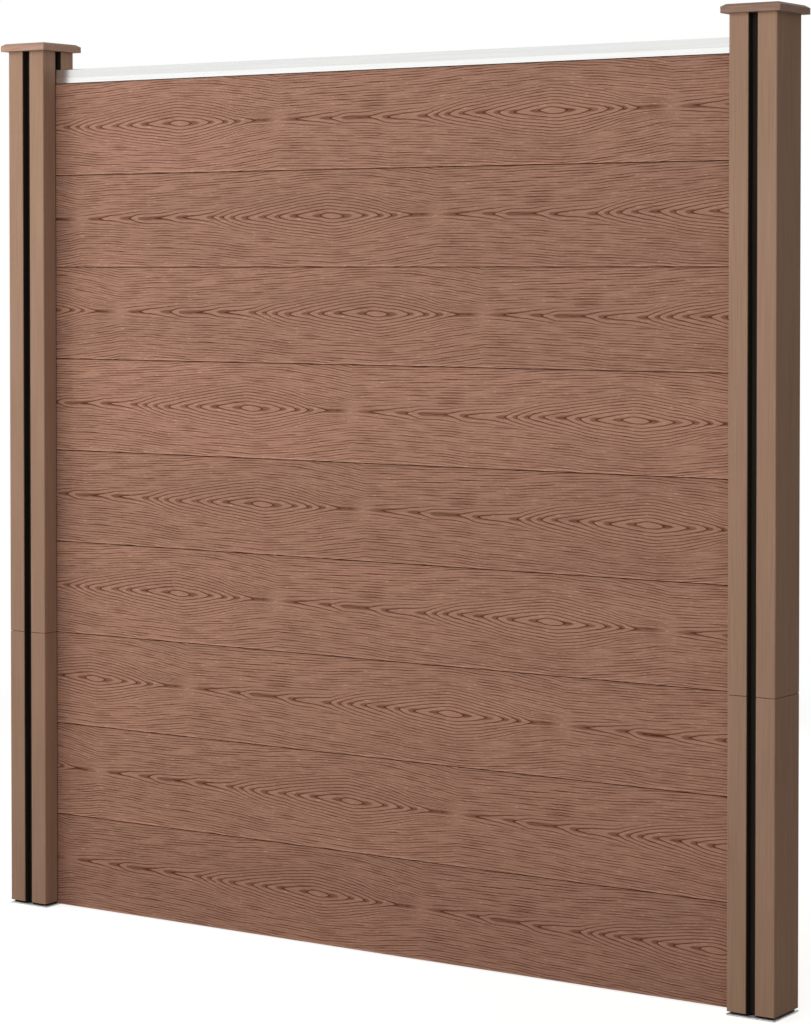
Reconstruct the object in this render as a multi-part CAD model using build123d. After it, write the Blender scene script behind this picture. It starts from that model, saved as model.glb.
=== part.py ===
from build123d import *
import os

# One bay of a composite fence: boards stacked tongue in groove under a top rail, with their ends
# in the slots of two clad posts that stand on base plates.
# X runs along the bay, -Y is the front and Z is up. The origin is on the ground, midway between
# the posts, in the middle of the panel's thickness. All sizes are in millimetres.

# Bay
clear_width = 1675.0          # between the facing sides of the posts
top_gap = 40.5                # slot left open between the rail and the cap

# Boards
board_count = 9
board_pitch = 200.0
board_thickness = 16.0
board_engagement = 12.5       # length of a board's end inside each post
board_end_gap = 3.5           # room for a board to grow, behind its end
joint_gap = 1.6               # open joint between two faces, as each board stands on the tongue below
joint_bevel = 0.5             # on each long edge at an open joint
tongue_height = 10.0
tongue_thickness = 6.0
tongue_lead = 1.0
tongue_play = 0.4             # beside the tongue in its groove
board_wall = 4.0
chamber_count = 6
chamber_bevel = 1.5

# Top rail
rail_height = 30.0
rail_wall = 2.0
rail_band_height = 10.4       # plain lower band, up to the shadow groove
rail_groove_height = 1.4
rail_groove_depth = 0.8
rail_lean = 0.6               # how far each side of the upper band leans in
rail_edge_radius = 1.6
rail_grip_gap = 1.0           # under the inner lips that grip the tongue

# Posts
post_width = 100.0
slot_play = 0.45              # between a board and each wall of its slot
slot_wall = 1.2               # walls of a slot, part of the core, which line its mouth
slot_wall_play = 0.1          # between a slot's wall and the edge of the cladding
cladding_thickness = 8.0
lower_cladding_length = 594.0
cladding_corner_radius = 2.5
slot_mouth_bevel = 1.0
seam_gap = 1.2                # room for two lengths of cladding to grow, between their ends
dovetail_root = 6.0
dovetail_tip = 9.0
dovetail_height = 3.0
dovetail_play = 0.25
core_wall = 2.0

# Foot
plate_thickness = 2.5
plate_overhang = 1.0
plate_corner_bevel = 2.0
anchor_hole_diameter = 9.0
anchor_head_room = 16.0       # square opening for a bolt's head through the foot pad
pad_thickness = 5.0
pad_inset = 6.0               # from the face of the cladding
spigot_width = 40.0
spigot_wall = 3.0
spigot_corner_bevel = 3.0
spigot_play = 0.5
spigot_height = 300.0

# Core fixing screws
screw_diameter = 4.8
screw_head_diameter = 11.0
screw_head_height = 1.8
screw_play = 0.1
screw_tip = 5.0               # past the inner wall of the spigot
screw_first_height = 80.0
screw_spacing = 140.0
screw_count = 2

# Cap
cap_overhang = 12.5
cap_edge_height = 12.0
cap_bevel_height = 5.0
cap_bevel_run = 8.0
cap_corner_radius = 2.0
cap_roof = 5.0
plug_play = 0.3
plug_wall = 3.0
plug_depth = 20.0

# What follows from the driving dimensions
board_length = clear_width + 2 * board_engagement
shoulder_height = board_pitch - joint_gap
groove_depth = tongue_height - joint_gap
groove_width = tongue_thickness + 2 * tongue_play
panel_bottom = plate_thickness
boards_top = panel_bottom + board_count * board_pitch
post_top = boards_top + rail_height + top_gap

post_half = post_width / 2
post_centre = clear_width / 2 + post_half
slot_width = board_thickness + 2 * slot_play
slot_depth = board_engagement + board_end_gap
slot_floor = post_half - slot_depth
slot_wall_end = post_half - slot_mouth_bevel
slot_wall_offset = (slot_width + slot_wall) / 2
mouth_width = slot_width + 2 * (slot_wall + slot_wall_play)
core_half = post_half - cladding_thickness
chamber_half = spigot_width / 2 + spigot_play
tube_half = chamber_half + core_wall
web_offset = (slot_width + core_wall) / 2
rib_offset = (core_half + mouth_width / 2) / 2
cladding_bottom = plate_thickness + pad_thickness
cladding_seam = cladding_bottom + lower_cladding_length
anchor_offset = (tube_half + core_half - core_wall) / 2
screw_heights = [screw_first_height + i * screw_spacing for i in range(screw_count)]

PLAIN_SIDES = (90, 180)
SLOT_SIDES = (0, -90)         # the slots of the left post face the panel (+X) and the front (-Y)


def square(half):
    return Rectangle(2 * half, 2 * half)


def rounded_square(half, radius):
    return RectangleRounded(2 * half, 2 * half, radius)


def bevelled_square(half, bevel):
    return chamfer(square(half).vertices(), bevel)


def rod_along_x(radius, start, end):
    rod = Cylinder(radius, end - start, align=(Align.CENTER, Align.CENTER, Align.MIN))
    return Pos(start) * Rot(0, 90, 0) * rod


def on_side(angle, outward, sideways, shape):
    """Place a shape drawn for the +X side of a post on the side at the given angle."""
    return Rot(0, 0, angle) * Pos(outward, sideways) * shape


def slots(width):
    channel = Rectangle(slot_depth, width)
    return Sketch() + [on_side(side, post_half - slot_depth / 2, 0, channel) for side in SLOT_SIDES]


def board(level):
    """One hollow board, its section drawn across the panel and drawn out along X."""
    body = Pos(0, shoulder_height / 2) * Rectangle(board_thickness, shoulder_height)
    body = chamfer(body.vertices(), joint_bevel)
    tongue = Pos(0, shoulder_height + tongue_height / 2) * Rectangle(tongue_thickness, tongue_height)
    tongue = chamfer(tongue.vertices().group_by(Axis.Y)[-1], tongue_lead)
    groove = Pos(0, groove_depth / 2) * Rectangle(groove_width, groove_depth)

    lowest = groove_depth + board_wall
    pitch = (shoulder_height - lowest) / chamber_count
    hollow = Rectangle(board_thickness - 2 * board_wall, pitch - board_wall)
    hollow = chamfer(hollow.vertices(), chamber_bevel)
    chambers = [Pos(0, lowest + i * pitch + (pitch - board_wall) / 2) * hollow for i in range(chamber_count)]

    section = body + tongue - groove - chambers
    return Pos(0, 0, level) * extrude(Plane.YZ * section, board_length / 2, both=True)


def top_rail():
    """Extruded rail: a seat and two lips on the top board's tongue, outer legs and a hollow head."""
    half = board_thickness / 2
    head_bottom = rail_band_height + rail_groove_height
    hollow_bottom = groove_depth + rail_wall

    band = Pos(0, rail_band_height / 2) * Rectangle(board_thickness, rail_band_height)
    neck = Pos(0, head_bottom / 2) * Rectangle(board_thickness - 2 * rail_groove_depth, head_bottom)
    head = Polygon(
        (-half, head_bottom),
        (half, head_bottom),
        (half - rail_lean, rail_height),
        (rail_lean - half, rail_height),
        align=None,
    )
    head = fillet(head.vertices().group_by(Axis.Y)[-1], rail_edge_radius)

    tongue_room = Pos(0, groove_depth / 2) * Rectangle(board_thickness - 2 * rail_wall, groove_depth)
    lip = Rectangle(rail_wall, groove_depth - rail_grip_gap)
    lip_offset = (groove_width + rail_wall) / 2
    lips = [Pos(s * lip_offset, (groove_depth + rail_grip_gap) / 2) * lip for s in (-1, 1)]
    hollow_width = board_thickness - 2 * (rail_wall + rail_lean)
    hollow_height = rail_height - rail_wall - hollow_bottom
    hollow = Pos(0, hollow_bottom + hollow_height / 2) * Rectangle(hollow_width, hollow_height)

    section = band + neck + head - tongue_room - hollow + lips
    return Pos(0, 0, boards_top) * extrude(Plane.YZ * section, board_length / 2, both=True)


def dovetails(play):
    """Dovetail ribs of the core, or with play, the grooves for them in the cladding."""
    root = dovetail_root / 2 + play
    tip = dovetail_tip / 2 + play
    height = dovetail_height + play
    rib = Polygon((0, -root), (height, -tip), (height, tip), (0, root), align=None)
    return [
        on_side(side, core_half, sideways, rib)
        for side in SLOT_SIDES + PLAIN_SIDES
        for sideways in (-rib_offset, rib_offset)
    ]


def base_plate():
    outline = bevelled_square(post_half + plate_overhang, plate_corner_bevel)
    holes = GridLocations(2 * anchor_offset, 2 * anchor_offset, 2, 2) * Circle(anchor_hole_diameter / 2)
    return extrude(outline - holes, plate_thickness)


def foot_pad():
    heads = GridLocations(2 * anchor_offset, 2 * anchor_offset, 2, 2) * square(anchor_head_room / 2)
    outline = square(post_half - pad_inset) - slots(slot_width) - square(chamber_half) - heads
    return Pos(0, 0, plate_thickness) * extrude(outline, pad_thickness)


def screw_bores(radius):
    """Bores through the floor of the panel slot to the middle of the spigot, one at each screw."""
    return [Pos(0, 0, height) * rod_along_x(radius, 0, slot_floor) for height in screw_heights]


def spigot():
    outline = bevelled_square(spigot_width / 2, spigot_corner_bevel)
    inside = offset(outline, -spigot_wall)
    tube = Pos(0, 0, plate_thickness) * extrude(outline - inside, spigot_height)
    return tube - screw_bores(screw_diameter / 2 + screw_play)


def core():
    """Post core: shell, centre tube for the spigot, webs, and two slots whose walls reach the faces."""
    shell = square(core_half) - square(core_half - core_wall)
    tube = square(tube_half) - square(chamber_half)
    web = Rectangle(core_half - tube_half, core_wall)
    webs = [
        on_side(side, (core_half + tube_half) / 2, sideways, web)
        for side in PLAIN_SIDES
        for sideways in (-web_offset, web_offset)
    ]
    lining = Rectangle(slot_wall_end - tube_half, slot_wall)
    linings = [
        on_side(side, (slot_wall_end + tube_half) / 2, sideways, lining)
        for side in SLOT_SIDES
        for sideways in (-slot_wall_offset, slot_wall_offset)
    ]
    floor = Rectangle(core_wall, slot_width + 2 * slot_wall)
    floors = [on_side(side, slot_floor - core_wall / 2, 0, floor) for side in SLOT_SIDES]
    section = shell + tube + webs + linings + floors + dovetails(0) - slots(slot_width)
    profile = Pos(0, 0, cladding_bottom) * extrude(section, post_top - cladding_bottom)
    return profile - screw_bores(screw_diameter / 2 + screw_play)


def core_screws():
    """Wafer-head screws, seated on the floor of the panel slot and driven into the spigot."""
    inner_end = spigot_width / 2 - spigot_wall - screw_tip
    shank = rod_along_x(screw_diameter / 2, inner_end, slot_floor)
    head = rod_along_x(screw_head_diameter / 2, slot_floor, slot_floor + screw_head_height)
    screw = shank + head
    return Compound([Pos(0, 0, height) * screw for height in screw_heights])


def cladding_sections():
    """The small L between the two slots and the large C round the rest of the post."""
    ring = rounded_square(post_half, cladding_corner_radius) - square(core_half)
    ring = ring - slots(mouth_width) - dovetails(dovetail_play)
    mouths = [
        v
        for v in ring.vertices()
        if max(abs(v.X), abs(v.Y)) > post_half - slot_mouth_bevel and min(abs(v.X), abs(v.Y)) < rib_offset
    ]
    ring = chamfer(mouths, slot_mouth_bevel)
    return ring.faces().sort_by(SortBy.AREA)


def cladding(section, bottom, top):
    return Pos(0, 0, bottom) * extrude(section, top - bottom)


def cap():
    """Moulded cap: bevelled top, open underneath, with a hollow plug for the core's centre tube."""
    half = post_half + cap_overhang
    low = rounded_square(half, cap_corner_radius)
    high = rounded_square(half - cap_bevel_run, cap_corner_radius)
    edge = extrude(low, cap_edge_height)
    bevel = loft([Pos(0, 0, cap_edge_height) * low, Pos(0, 0, cap_edge_height + cap_bevel_height) * high])
    body = edge + bevel
    pocket_height = cap_edge_height + cap_bevel_height - cap_roof
    pocket = extrude(square(core_half - core_wall), pocket_height)
    plug_half = chamber_half - plug_play
    plug = extrude(square(plug_half) - square(plug_half - plug_wall), plug_depth + pocket_height)
    return Pos(0, 0, post_top) * (body - pocket + Pos(0, 0, -plug_depth) * plug)


def save(shape, name):
    export_step(shape, f"parts/{name}.step")


os.makedirs("parts", exist_ok=True)

for number in range(board_count):
    save(board(panel_bottom + number * board_pitch), f"board_{number + 1}")
save(top_rail(), "top_rail")

corner, wrap = cladding_sections()
post_pieces = {
    "base_plate": base_plate(),
    "foot_pad": foot_pad(),
    "spigot": spigot(),
    "core": core(),
    "core_screws": core_screws(),
    "lower_corner_cladding": cladding(corner, cladding_bottom, cladding_seam),
    "upper_corner_cladding": cladding(corner, cladding_seam + seam_gap, post_top),
    "lower_wrap_cladding": cladding(wrap, cladding_bottom, cladding_seam),
    "upper_wrap_cladding": cladding(wrap, cladding_seam + seam_gap, post_top),
    "cap": cap(),
}
for name, piece in post_pieces.items():
    left = Pos(-post_centre) * piece
    save(left, f"left_{name}")
    save(mirror(left, about=Plane.YZ), f"right_{name}")
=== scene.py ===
import math

import bpy
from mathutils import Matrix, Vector


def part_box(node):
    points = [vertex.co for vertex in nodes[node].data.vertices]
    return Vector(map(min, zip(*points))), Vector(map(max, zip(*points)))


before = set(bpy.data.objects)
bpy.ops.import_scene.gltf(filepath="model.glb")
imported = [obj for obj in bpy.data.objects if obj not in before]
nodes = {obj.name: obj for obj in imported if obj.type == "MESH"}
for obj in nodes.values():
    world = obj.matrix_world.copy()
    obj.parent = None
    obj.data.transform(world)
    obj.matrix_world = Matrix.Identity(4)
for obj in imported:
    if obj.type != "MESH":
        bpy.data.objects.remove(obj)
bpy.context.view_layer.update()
bpy.ops.object.select_all(action="DESELECT")


# Base plates
# A square steel plate carries each post and is bolted to the ground through its four holes.
# It is cut from sheet and hot-dip galvanised, which leaves a grey skin with faint crystals in it.
def paint(red, green, blue, tone=1.0):
    """A colour as it is read off a screen, 0 to 255, made lighter or darker by tone, for a shader."""
    def linear(value):
        share = value / 255
        return tone * (share / 12.92 if share <= 0.04045 else ((share + 0.055) / 1.055) ** 2.4)
    return (linear(red), linear(green), linear(blue), 1.0)


def new_finish(name, roughness, specular=0.5, metallic=0.0):
    """A material with its tree and its Principled shader, set to one gloss all over."""
    material = bpy.data.materials.new(name)
    material.use_nodes = True
    shader = material.node_tree.nodes["Principled BSDF"]
    shader.inputs["Roughness"].default_value = roughness
    shader.inputs["Specular IOR Level"].default_value = specular
    shader.inputs["Metallic"].default_value = metallic
    return material, material.node_tree, shader


def place(tree, location=(0, 0, 0), rotation=(0, 0, 0), scale=(1, 1, 1)):
    """The piece's own coordinates, in metres, moved, turned or stretched for a pattern."""
    mapping = tree.nodes.new("ShaderNodeMapping")
    mapping.inputs["Location"].default_value = location
    mapping.inputs["Rotation"].default_value = rotation
    mapping.inputs["Scale"].default_value = scale
    coordinates = tree.nodes.new("ShaderNodeTexCoord")
    tree.links.new(coordinates.outputs["Object"], mapping.inputs["Vector"])
    return mapping.outputs["Vector"]


def noise(tree, vector, scale, detail=2.0, roughness=0.5):
    """A soft random value from 0 to 1 over the surface."""
    texture = tree.nodes.new("ShaderNodeTexNoise")
    texture.inputs["Scale"].default_value = scale
    texture.inputs["Detail"].default_value = detail
    texture.inputs["Roughness"].default_value = roughness
    tree.links.new(vector, texture.inputs["Vector"])
    return texture.outputs["Fac"]


def between(tree, value, low, high, first=0.0, last=1.0):
    """Maps low..high smoothly on to first..last, and holds the ends."""
    ramp = tree.nodes.new("ShaderNodeMapRange")
    ramp.interpolation_type = "SMOOTHSTEP"
    ramp.inputs["From Min"].default_value = low
    ramp.inputs["From Max"].default_value = high
    ramp.inputs["To Min"].default_value = first
    ramp.inputs["To Max"].default_value = last
    tree.links.new(value, ramp.inputs["Value"])
    return ramp.outputs["Result"]


def two_tone(tree, share, first, second):
    """One colour where share is 0, turning into the other where it is 1; each a value or a socket."""
    mix = tree.nodes.new("ShaderNodeMix")
    mix.data_type = "RGBA"
    for name, colour in (("A", first), ("B", second)):
        if isinstance(colour, tuple):
            mix.inputs[name].default_value = colour
        else:
            tree.links.new(colour, mix.inputs[name])
    tree.links.new(share, mix.inputs["Factor"])
    return mix.outputs["Result"]


def emboss(tree, shader, height, depth):
    """Raises the surface by height, with depth metres from its lowest to its highest place."""
    bump = tree.nodes.new("ShaderNodeBump")
    bump.inputs["Strength"].default_value = 1.0
    bump.inputs["Distance"].default_value = depth
    tree.links.new(height, bump.inputs["Height"])
    tree.links.new(bump.outputs["Normal"], shader.inputs["Normal"])


def dress(names, material):
    """Gives the finish to the pieces of these names."""
    for name in names:
        nodes[name].data.materials.clear()
        nodes[name].data.materials.append(material)


sides = ("left", "right")
zinc_light = paint(228, 229, 230)
zinc_dark = paint(198, 201, 203)
crystal_size = 0.009
zinc, tree, shader = new_finish("galvanised steel", roughness=0.38, metallic=0.4)
crystals = tree.nodes.new("ShaderNodeTexVoronoi")
crystals.inputs["Scale"].default_value = 1 / crystal_size
tree.links.new(place(tree), crystals.inputs["Vector"])
crystal_tone = crystals.outputs["Color"]
tree.links.new(two_tone(tree, crystal_tone, zinc_dark, zinc_light), shader.inputs["Base Color"])
tree.links.new(between(tree, crystal_tone, 0, 1, 0.3, 0.48), shader.inputs["Roughness"])
dress([f"{side}_base_plate" for side in sides], zinc)


# Foot pads
# A black rubber pad lies on each plate, under the cladding, and keeps it out of standing water.
# It is die-cut from sheet with a faint fabric print in its skin.
rubber_light = paint(34, 33, 33)
rubber_dark = paint(19, 18, 18)
rubber, tree, shader = new_finish("black rubber", roughness=0.8, specular=0.2)
rubber_print = noise(tree, place(tree), scale=1800, detail=3)
tree.links.new(two_tone(tree, rubber_print, rubber_dark, rubber_light), shader.inputs["Base Color"])
emboss(tree, shader, rubber_print, depth=0.0003)
dress([f"{side}_foot_pad" for side in sides], rubber)


# Spigots and screws
# A square steel tube stands on each plate inside the post, galvanised with it after welding.
# Two self-drilling screws fix each post's core to it, with bright zinc-plated heads.
dress([f"{side}_spigot" for side in sides], zinc)
screw_light = paint(205, 203, 196)
screw_dark = paint(168, 166, 160)
plated, tree, shader = new_finish("zinc plated screws", roughness=0.3, metallic=1.0)
plating = noise(tree, place(tree), scale=900)
tree.links.new(two_tone(tree, plating, screw_dark, screw_light), shader.inputs["Base Color"])
dress([f"{side}_core_screws" for side in sides], plated)


# Cores
# The black aluminium section that runs up each post carries the load and forms the panel's slots.
# It is extruded, so faint die lines run up it, and its anodised skin is matt.
def new_effect(name, results):
    """A shared effect over a surface; gives its group, the place on the surface and its results."""
    group = bpy.data.node_groups.new(name, "ShaderNodeTree")
    group.interface.new_socket("Vector", in_out="INPUT", socket_type="NodeSocketVector")
    for result in results:
        group.interface.new_socket(result, in_out="OUTPUT", socket_type="NodeSocketFloat")
    vector = group.nodes.new("NodeGroupInput").outputs["Vector"]
    return group, vector, group.nodes.new("NodeGroupOutput").inputs


def stretched(tree, vector, scale):
    """The same coordinates, squeezed or drawn out along each axis."""
    mapping = tree.nodes.new("ShaderNodeMapping")
    mapping.inputs["Scale"].default_value = scale
    tree.links.new(vector, mapping.inputs["Vector"])
    return mapping.outputs["Vector"]


def die_lines():
    """Fine lines left by an extrusion die along Z, as streaks, and the speckle of the skin."""
    group, vector, results = new_effect("die lines", ("Streak", "Speckle"))
    drawn_out = stretched(group, vector, (1, 1, 0.012))
    streak = noise(group, drawn_out, scale=420, detail=4, roughness=0.65)
    group.links.new(between(group, streak, 0.3, 0.7), results["Streak"])
    speckle = noise(group, vector, scale=1300, detail=2)
    group.links.new(between(group, speckle, 0.3, 0.7), results["Speckle"])
    return group


def add_group(tree, group, vector):
    """Places a shared effect in a material; gives its outputs."""
    box = tree.nodes.new("ShaderNodeGroup")
    box.node_tree = group
    tree.links.new(vector, box.inputs["Vector"])
    return box.outputs


extruded = die_lines()
anodised_light = paint(44, 36, 29)
anodised_dark = paint(28, 22, 18)
black, tree, shader = new_finish("black anodised aluminium", roughness=0.6, specular=0.2)
lines = add_group(tree, extruded, place(tree))
anodised = two_tone(tree, lines["Streak"], anodised_dark, anodised_light)
tree.links.new(anodised, shader.inputs["Base Color"])
emboss(tree, shader, lines["Streak"], depth=0.0001)
dress([f"{side}_core" for side in sides], black)


# Cladding
# Brown wood and plastic composite covers clip on to the core's dovetail ribs, two lengths to a post.
# They are extruded and then brushed along their length, which leaves soft vertical streaks.
def calc(tree, operation, *values):
    """One step of arithmetic on sockets and plain numbers; gives its result."""
    step = tree.nodes.new("ShaderNodeMath")
    step.operation = operation
    for socket, value in zip(step.inputs, values):
        if isinstance(value, (int, float)):
            socket.default_value = value
        else:
            tree.links.new(value, socket)
    return step.outputs["Value"]


clad_light = (169, 138, 117)
clad_dark = (144, 113, 93)
# The right post's cladding is painted lighter than the left's, which is painted light
post_painted_light_tones = {"left": 1.0, "right": 1.11}
for side, tone in post_painted_light_tones.items():
    brushed, tree, shader = new_finish(f"brushed composite {side} post", roughness=0.7, specular=0.12)
    lines = add_group(tree, extruded, place(tree))
    cloud = noise(tree, place(tree, scale=(1, 1, 0.15)), scale=24, detail=3)
    streak_share = calc(tree, "MULTIPLY_ADD", lines["Streak"], 0.5, calc(tree, "MULTIPLY", cloud, 0.5))
    colour = two_tone(tree, streak_share, paint(*clad_dark, tone), paint(*clad_light, tone))
    tree.links.new(colour, shader.inputs["Base Color"])
    tree.links.new(between(tree, lines["Speckle"], 0, 1, 0.64, 0.76), shader.inputs["Roughness"])
    emboss(tree, shader, calc(tree, "ADD", lines["Streak"], lines["Speckle"]), depth=0.0001)
    for length in ("lower", "upper"):
        dress([f"{side}_{length}_{form}_cladding" for form in ("corner", "wrap")], brushed)


# Boards
# Nine hollow composite boards lie one on another, tongue in groove, with their ends in the slots.
# They are extruded, and a heated roller presses an oak grain into both faces, once for each turn.
grain_repeat = 0.930
back_roller_turn = 0.37
pith_above_middle = 0.004
pith_wander = 0.012
ring_count_scale = 12.0
ring_count_start = -0.5
# The back, the half below the pith and the fibres each draw on another part of the random pattern
back_draw = 3.0
lower_half_draw = 37.0
fibre_draw = 3.0
# How the lines sway, as (stretch of the pattern, rings from side to side, detail)
line_sway = (((4, 1, 10), 1.4, 2), ((22, 1, 90), 0.35, 3))
# Loops beside the pith, as (rings in a metre, bluntness of their tips in metres)
loop_slopes = ((58.0, 0.0015), (116.0, 0.013))
loop_line_width = 0.27
# Straight lines further out, by rings in a metre and how far they follow the loops
straight_rings = 192.0
straight_lean = 0.42
straight_line_width = 0.42
# Where the figure changes, as distances from the pith in metres, and counted in rings
leaving_pith = (0.005, 0.028)
straight_from = (0.010, 0.024)
last_loops = (6.4, 9.6)
# Strokes that the straight lines break into
strokes_in_metre = 11
strokes_in_ring = 0.9
stroke_gap = 0.8
# Dashes on the pith, by distance from it and by share of a ring
dash_reach = (0.0025, 0.0065)
dash_length = (0.34, 0.46)
dash_darkness = 0.56
# The dressed join, by distance along the board and from the pith
join_reach = (0.004, 0.036)
join_height = (0.012, 0.034)
join_smoothness = 0.7
# Fibres, flecks and clouds between the lines
fibres_in_metre = 15
fibres_in_ring = 2.0
fibres_up = 420
fleck_stretch = (60, 1, 420)
cloud_stretch = (2.2, 1, 16)
line_height = -0.7
fibre_height = -0.3
# Rings counted along the pith line from the roller's join, as (metres from the join, rings)
rings_on_pith = (
    (0.000, 11.4), (0.055, 11.0), (0.139, 10.0), (0.178, 9.12), (0.225, 9.0), (0.278, 8.0), (0.358, 7.0),
    (0.390, 6.0), (0.418, 5.0), (0.453, 4.0), (0.505, 3.0), (0.543, 2.0), (0.585, 1.0), (0.640, 0.0),
    (0.669, -0.4), (0.698, 0.0), (0.748, 1.0), (0.788, 2.0), (0.820, 3.0), (0.866, 4.0), (0.912, 4.1),
    (0.930, 4.4),
)
# The same count further out, where the lines run on across the join
rings_beside_pith = (
    (0.000, 11.4), (0.055, 11.0), (0.139, 10.0), (0.225, 8.9), (0.278, 8.0), (0.358, 7.0), (0.390, 6.0),
    (0.418, 5.0), (0.453, 4.0), (0.505, 3.0), (0.543, 2.0), (0.585, 1.0), (0.640, 0.0), (0.669, -0.4),
    (0.698, 0.0), (0.748, 1.2), (0.788, 2.6), (0.820, 4.2), (0.866, 6.9), (0.900, 9.2), (0.930, 11.4),
)


def ring_count(tree, along, counts):
    """The number of rings at a place along the repeat, on a curve drawn through the counts."""
    drawn = tree.nodes.new("ShaderNodeFloatCurve")
    points = drawn.mapping.curves[0].points
    for number, (metres, rings) in enumerate(counts):
        spot = (metres / grain_repeat, (rings - ring_count_start) / ring_count_scale)
        if number == 0:
            points[0].location = spot
        elif number == len(counts) - 1:
            points[-1].location = spot
        else:
            points.new(*spot)
    for point in points:
        point.handle_type = "AUTO_CLAMPED"
    drawn.mapping.update()
    tree.links.new(along, drawn.inputs["Value"])
    return calc(tree, "MULTIPLY_ADD", drawn.outputs["Value"], ring_count_scale, ring_count_start)


def combine(tree, x, y, z):
    """A vector from sockets and plain numbers."""
    joined = tree.nodes.new("ShaderNodeCombineXYZ")
    for socket, value in zip(joined.inputs, (x, y, z)):
        if isinstance(value, (int, float)):
            socket.default_value = value
        else:
            tree.links.new(value, socket)
    return joined.outputs["Vector"]


def axes(tree, vector):
    """The X, Y and Z of a vector, each by its name."""
    parts = tree.nodes.new("ShaderNodeSeparateXYZ")
    tree.links.new(vector, parts.inputs["Vector"])
    return parts.outputs


def late_wood_line(tree, rings, width):
    """Dark late wood, sharp at each whole ring and fading outwards, and the place in the ring."""
    sharp_from = 0.90
    part = calc(tree, "FRACT", rings)
    dark = calc(tree, "SUBTRACT", 1.0, calc(tree, "DIVIDE", part, width))
    return calc(tree, "MAXIMUM", dark, between(tree, part, sharp_from, 1.0)), part


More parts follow.
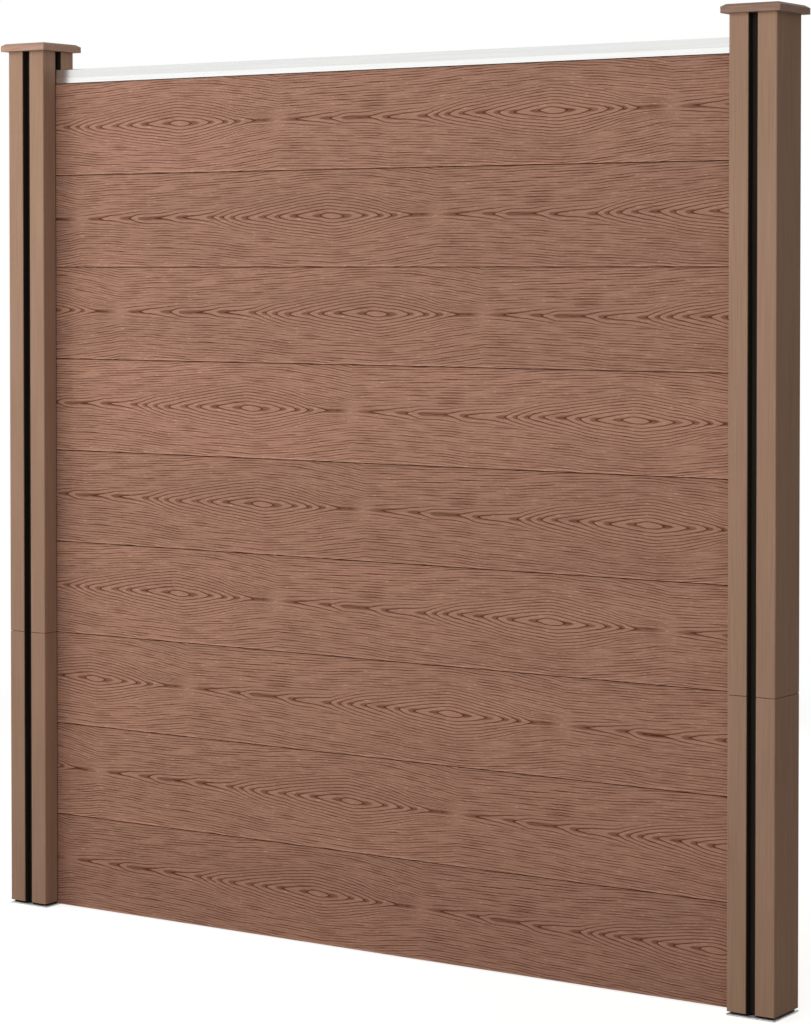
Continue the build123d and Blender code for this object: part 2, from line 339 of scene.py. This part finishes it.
def embossed_grain():
    """The roller's oak figure, with X along the board from the join and Z up from the pith line."""
    group, vector, results = new_effect("embossed grain", ("Line", "Fibre", "Fleck", "Tone", "Height"))
    spot = axes(group, vector)

    # The second roller, on the back, stands turned by part of a repeat
    back = calc(group, "GREATER_THAN", spot["Y"], 0)
    along = calc(group, "MULTIPLY_ADD", back, back_roller_turn, spot["X"])
    plane = combine(group, along, calc(group, "MULTIPLY", back, back_draw), spot["Z"])

    # The pith line wanders a few millimetres
    wander = noise(group, combine(group, along, 0, 0), scale=5, detail=2)
    up = calc(group, "MULTIPLY_ADD", calc(group, "SUBTRACT", wander, 0.5), pith_wander, spot["Z"])
    off = calc(group, "ABSOLUTE", up)
    below = calc(group, "MULTIPLY", calc(group, "LESS_THAN", up, 0), lower_half_draw)
    off_squared = calc(group, "MULTIPLY", up, up)

    # Every line sways a little along the board, with some jaggedness
    unrest = 0.0
    for stretch, rings_wide, detail in line_sway:
        sway = noise(group, stretched(group, plane, stretch), scale=1.0, detail=detail)
        unrest = calc(group, "MULTIPLY_ADD", calc(group, "SUBTRACT", sway, 0.5), rings_wide, unrest)

    # Loops: the rings counted along the pith grow steadily beside it, and so close round the heart
    share = calc(group, "FRACT", calc(group, "DIVIDE", along, grain_repeat))
    on_pith = ring_count(group, share, rings_on_pith)
    beside = ring_count(group, share, rings_beside_pith)
    leave = between(group, off, *leaving_pith)
    count = calc(group, "MULTIPLY_ADD", calc(group, "SUBTRACT", beside, on_pith), leave, on_pith)
    loops = calc(group, "ADD", count, unrest)
    for rings_per_metre, bluntness in loop_slopes:
        slant = calc(group, "SQRT", calc(group, "ADD", off_squared, bluntness ** 2))
        loops = calc(group, "MULTIPLY_ADD", slant, rings_per_metre, loops)
        loops = calc(group, "SUBTRACT", loops, rings_per_metre * bluntness)

    # Further out the lines run along the board at one spacing and only lean round the loops
    leaning = calc(group, "MULTIPLY_ADD", count, straight_lean, unrest)
    straight = calc(group, "MULTIPLY_ADD", off, straight_rings, leaning)
    past_loops = between(group, loops, *last_loops)
    past_pith = between(group, off, *straight_from)
    outside = calc(group, "MULTIPLY", past_loops, past_pith)
    loop_line, loop_part = late_wood_line(group, loops, loop_line_width)
    straight_line = late_wood_line(group, straight, straight_line_width)[0]

    # The straight lines break up into strokes
    stroke_along = calc(group, "MULTIPLY_ADD", along, strokes_in_metre, below)
    stroke_at = combine(group, stroke_along, back, calc(group, "MULTIPLY", straight, strokes_in_ring))
    broken = between(group, noise(group, stroke_at, scale=1.0, detail=3), 0.60, 0.38)
    stroke = calc(group, "MULTIPLY_ADD", broken, -stroke_gap, 1.0)
    straight_line = calc(group, "MULTIPLY", straight_line, stroke)
    straight_line = calc(group, "MULTIPLY", straight_line, outside)
    loop_line = calc(group, "MULTIPLY", loop_line, calc(group, "SUBTRACT", 1.0, outside))

    # On the pith the late wood fills the tip of each ring as a flat dark dash
    on_line = between(group, off, *dash_reach, 1.0, 0.0)
    dash = calc(group, "MULTIPLY", between(group, loop_part, *dash_length, dash_darkness, 0.0), on_line)
    line = calc(group, "MAXIMUM", calc(group, "MAXIMUM", loop_line, straight_line), dash)

    # The roller's join is dressed smooth, so the lines fade out there near the pith
    from_join = calc(group, "MULTIPLY", calc(group, "PINGPONG", share, 0.5), grain_repeat)
    at_join = between(group, from_join, *join_reach, join_smoothness, 0.0)
    smooth = calc(group, "MULTIPLY", at_join, between(group, off, *join_height, 1.0, 0.0))
    line = calc(group, "MULTIPLY", line, calc(group, "SUBTRACT", 1.0, smooth))

    # Fine fibres lie between the lines, with a few short pale flecks
    fine_along = calc(group, "MULTIPLY_ADD", along, fibres_in_metre, below)
    fine_off = calc(group, "MULTIPLY", off, fibres_up)
    fine_up = calc(group, "MULTIPLY_ADD", straight, fibres_in_ring, fine_off)
    fine_at = combine(group, fine_along, calc(group, "ADD", back, fibre_draw), fine_up)
    fibre = between(group, noise(group, fine_at, scale=1.0, detail=3, roughness=0.6), 0.47, 0.70)
    fleck = noise(group, stretched(group, plane, fleck_stretch), scale=1.0, detail=2)
    cloud = noise(group, stretched(group, plane, cloud_stretch), scale=1.0, detail=3)
    fibre_relief = calc(group, "MULTIPLY", fibre, fibre_height)

    group.links.new(line, results["Line"])
    group.links.new(fibre, results["Fibre"])
    group.links.new(between(group, fleck, 0.59, 0.74), results["Fleck"])
    group.links.new(cloud, results["Tone"])
    group.links.new(calc(group, "MULTIPLY_ADD", line, line_height, fibre_relief), results["Height"])
    return group


oak_figure = embossed_grain()
board_names = [f"board_{number}" for number in range(1, 10)]
first_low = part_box(board_names[0])[0]
last_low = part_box(board_names[-1])[0]
board_pitch = (last_low.z - first_low.z) / (len(board_names) - 1)
board_half = -first_low.y
# Where the roller's join falls on each board, from the middle of the panel, lowest board first
join_places = (0.125, 0.210, -0.472, -0.238, -0.017, -0.047, 0.272, 0.161, -0.234)
# Each board's tone is partly its own and partly painted light, evening out how the lamps light the panel
# from board to board
board_tones_and_painted_light = (1.05, 1.12, 1.13, 1.11, 1.04, 1.11, 1.01, 0.97, 1.01)
early_wood = (168, 127, 108)
late_wood = (85, 42, 25)
fleck_wood = (196, 157, 136)
line_darkness = 0.96
fibre_darkness = 0.5
cloud_spread = 0.06
# Heights on a board's face of a painted highlight along its lower edge and painted shade under the next
# board, in metres from its lower edge and down from the next board
painted_highlight_edge = (0.002, 0.0055)
painted_highlight_tone = 1.25
shaded_edge = (0.006, 0.002)
shaded_tone = 0.88
# Painted shade in the joint, in metres in from the face
joint_painted_shade = (0.004, 0.0004)
joint_shade_tone = 0.2
joint_shade_saturation = 1.4
for name, join, tone in zip(board_names, join_places, board_tones_and_painted_light):
    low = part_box(name)[0].z
    pith = low + board_pitch / 2 + pith_above_middle
    wood, tree, shader = new_finish(f"embossed composite {name}", roughness=0.66, specular=0.12)
    figure = add_group(tree, oak_figure, place(tree, location=(-join, 0, -pith)))
    pale = two_tone(tree, figure["Fleck"], paint(*early_wood), paint(*fleck_wood))
    dark_lines = calc(tree, "MULTIPLY", figure["Line"], line_darkness)
    darkness = calc(tree, "MULTIPLY_ADD", figure["Fibre"], fibre_darkness, dark_lines)
    grained = two_tone(tree, darkness, pale, paint(*late_wood))
    # The lower edge is painted a little paler, a painted highlight, the top edge is painted darker,
    # painted shade under the next board, and the tongue and groove are painted darker, painted shade in
    # the joint
    spot = axes(tree, place(tree, location=(0, 0, -low)))
    cloud_tones = ((1 - cloud_spread) * tone, (1 + cloud_spread) * tone)
    value = between(tree, figure["Tone"], 0.25, 0.75, *cloud_tones)
    value = calc(tree, "MULTIPLY", value, between(tree, spot["Z"], *painted_highlight_edge, painted_highlight_tone, 1.0))
    shaded_heights = [board_pitch - down for down in shaded_edge]
    value = calc(tree, "MULTIPLY", value, between(tree, spot["Z"], *shaded_heights, 1.0, shaded_tone))
    # The tongue and groove are painted darker and more saturated: painted shade in the joint
    painted_shade_places = [board_half - inwards for inwards in joint_painted_shade]
    skin = between(tree, calc(tree, "ABSOLUTE", spot["Y"]), *painted_shade_places, joint_shade_tone, 1.0)
    shade = tree.nodes.new("ShaderNodeHueSaturation")
    saturation = between(tree, skin, joint_shade_tone, 1.0, joint_shade_saturation, 1.0)
    tree.links.new(saturation, shade.inputs["Saturation"])
    tree.links.new(calc(tree, "MULTIPLY", value, skin), shade.inputs["Value"])
    tree.links.new(grained, shade.inputs["Color"])
    tree.links.new(shade.outputs["Color"], shader.inputs["Base Color"])
    dull = between(tree, skin, joint_shade_tone, 1.0, 1.0, 0.0)
    dull = calc(tree, "MAXIMUM", dull, between(tree, figure["Line"], 0, 1, 0.62, 0.76))
    tree.links.new(dull, shader.inputs["Roughness"])
    emboss(tree, shader, figure["Height"], depth=0.0005)
    dress([name], wood)


# Top rail
# A satin silver aluminium channel closes the panel and grips the upper edge of the top board.
# It is extruded, with a shallow groove along each side, and its ends stand in the posts' slots.
silver_light = paint(241, 241, 240)
silver_dark = paint(234, 234, 233)
rail_groove = (0.0104, 0.0118)
# The rail is painted lighter below its groove and darker above it: a painted reflection of the room in
# each band
band_painted_reflection = 1.12
head_painted_reflection = 0.97
rail_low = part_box("top_rail")[0].z
silver, tree, shader = new_finish("satin silver aluminium", roughness=0.22, metallic=0.95)
lines = add_group(tree, extruded, place(tree, rotation=(0, math.radians(90), 0)))
groove_heights = [rail_low + above for above in rail_groove]
painted_reflection = between(tree, axes(tree, place(tree))["Z"], *groove_heights, band_painted_reflection, head_painted_reflection)
shade = tree.nodes.new("ShaderNodeHueSaturation")
tree.links.new(painted_reflection, shade.inputs["Value"])
tree.links.new(two_tone(tree, lines["Streak"], silver_dark, silver_light), shade.inputs["Color"])
tree.links.new(shade.outputs["Color"], shader.inputs["Base Color"])
tree.links.new(between(tree, lines["Streak"], 0, 1, 0.2, 0.27), shader.inputs["Roughness"])
emboss(tree, shader, lines["Streak"], depth=0.00005)
dress(["top_rail"], silver)


# Caps
# A square composite cap plugs into the top of each post and throws the rain clear of the cladding.
# It is moulded, with a bevel round its top, and its skin is a little redder than the cladding's.
cap_light = (167, 136, 119)
cap_dark = (148, 117, 100)
# The left cap is painted lighter, a painted highlight, and the right cap darker, painted shade
cap_painted_light_tones = {"left": 1.16, "right": 0.92}
for side, tone in cap_painted_light_tones.items():
    moulded, tree, shader = new_finish(f"moulded composite {side} cap", roughness=0.6, specular=0.2)
    flow = noise(tree, place(tree, scale=(0.12, 1, 1)), scale=180, detail=4, roughness=0.6)
    skin = noise(tree, place(tree), scale=1100, detail=2)
    flow_share = calc(tree, "MULTIPLY_ADD", flow, 0.8, calc(tree, "MULTIPLY", skin, 0.2))
    flow_share = between(tree, flow_share, 0.3, 0.7)
    colour = two_tone(tree, flow_share, paint(*cap_dark, tone), paint(*cap_light, tone))
    tree.links.new(colour, shader.inputs["Base Color"])
    emboss(tree, shader, skin, depth=0.0002)
    dress([f"{side}_cap"], moulded)


# Floor
# A pale studio floor, which goes over into the white surround a few metres from the fence.
floor_size = 60.0
floor_tone = paint(164, 158, 151)
floor_lift = 0.82
white_distances = (2.2, 4.5)
surround = (1.0, 1.0, 1.0, 1.0)
bpy.ops.mesh.primitive_plane_add(size=floor_size, location=(0, 0, 0))
floor = bpy.context.active_object
floor.name = "studio_floor"
pale_floor, tree, shader = new_finish("pale floor", roughness=0.9, specular=0.0)
shader.inputs["Base Color"].default_value = floor_tone


def seen_directly(tree):
    """1 for a ray that shows this surface itself, straight on, in a mirror or through glass."""
    path = tree.nodes.new("ShaderNodeLightPath")
    seen = calc(tree, "MAXIMUM", path.outputs["Is Camera Ray"], path.outputs["Is Glossy Ray"])
    return calc(tree, "MAXIMUM", seen, path.outputs["Is Transmission Ray"])


seen = seen_directly(tree)
lift = tree.nodes.new("ShaderNodeEmission")
lift.inputs["Color"].default_value = surround
tree.links.new(calc(tree, "MULTIPLY", seen, floor_lift), lift.inputs["Strength"])
near = tree.nodes.new("ShaderNodeAddShader")
tree.links.new(shader.outputs["BSDF"], near.inputs[0])
tree.links.new(lift.outputs["Emission"], near.inputs[1])
white = tree.nodes.new("ShaderNodeEmission")
white.inputs["Color"].default_value = surround
distance = tree.nodes.new("ShaderNodeVectorMath")
distance.operation = "LENGTH"
tree.links.new(place(tree), distance.inputs[0])
far = between(tree, distance.outputs["Value"], *white_distances)
over = tree.nodes.new("ShaderNodeMixShader")
tree.links.new(calc(tree, "MULTIPLY", far, seen), over.inputs["Fac"])
tree.links.new(near.outputs["Shader"], over.inputs[1])
tree.links.new(white.outputs["Emission"], over.inputs[2])
tree.links.new(over.outputs["Shader"], tree.nodes["Material Output"].inputs["Surface"])
floor.data.materials.append(pale_floor)


# Light
# A soft lamp stands close by on the left, a broad one faces the fence and a third lights its back.
# The rest of the light comes from the white room.
def soft_lamp(name, location, aim, width, height, watts):
    """A rectangular lamp turned towards a point, which neither the camera nor a mirror shows."""
    bpy.ops.object.light_add(type="AREA", location=location)
    lamp = bpy.context.active_object
    lamp.name = name
    lamp.rotation_euler = (Vector(aim) - Vector(location)).to_track_quat("-Z", "Y").to_euler()
    lamp.data.shape = "RECTANGLE"
    lamp.data.size = width
    lamp.data.size_y = height
    lamp.data.energy = watts
    lamp.visible_camera = False
    lamp.visible_glossy = False


soft_lamp("left_lamp", (-2.5, -0.9, 2.3), (-0.4, 0, 1.0), 1.4, 1.8, watts=41)
soft_lamp("front_lamp", (0, -2.3, 2.0), (0, 0, 1.3), 7.0, 2.2, watts=86)
soft_lamp("back_lamp", (0, 2.8, 2.2), (0, 0, 1.0), 3.4, 2.2, watts=62)
room_level = 0.09
room_tone = (1.0, 0.9, 0.76, 1.0)
world = bpy.data.worlds.new("white room")
bpy.context.scene.world = world
world.use_nodes = True
tree = world.node_tree
background = tree.nodes["Background"]
seen = seen_directly(tree)
tree.links.new(two_tone(tree, seen, room_tone, surround), background.inputs["Color"])
room_light = calc(tree, "MULTIPLY_ADD", seen, 1 - room_level, room_level)
tree.links.new(room_light, background.inputs["Strength"])


# Camera
# It stands right of the middle at eye height and looks a little down.
# Its long lens is shifted down too, which keeps the posts nearly upright.
camera_place = (3.4445, -4.9886, 1.3990)
camera_tilt = math.radians(90 - 1.416)
camera_turn = math.radians(34.009)
photo_height = 1024
focal_pixels = 2979.9
shift_pixels = -170
sensor = 36.0
camera_data = bpy.data.cameras.new("camera")
camera_data.sensor_width = sensor
camera_data.lens = focal_pixels / photo_height * sensor
camera_data.shift_y = shift_pixels / photo_height
camera = bpy.data.objects.new("camera", camera_data)
camera.location = camera_place
camera.rotation_euler = (camera_tilt, 0, camera_turn)
bpy.context.scene.collection.objects.link(camera)
bpy.context.scene.camera = camera
bpy.context.scene.view_settings.view_transform = "Standard"
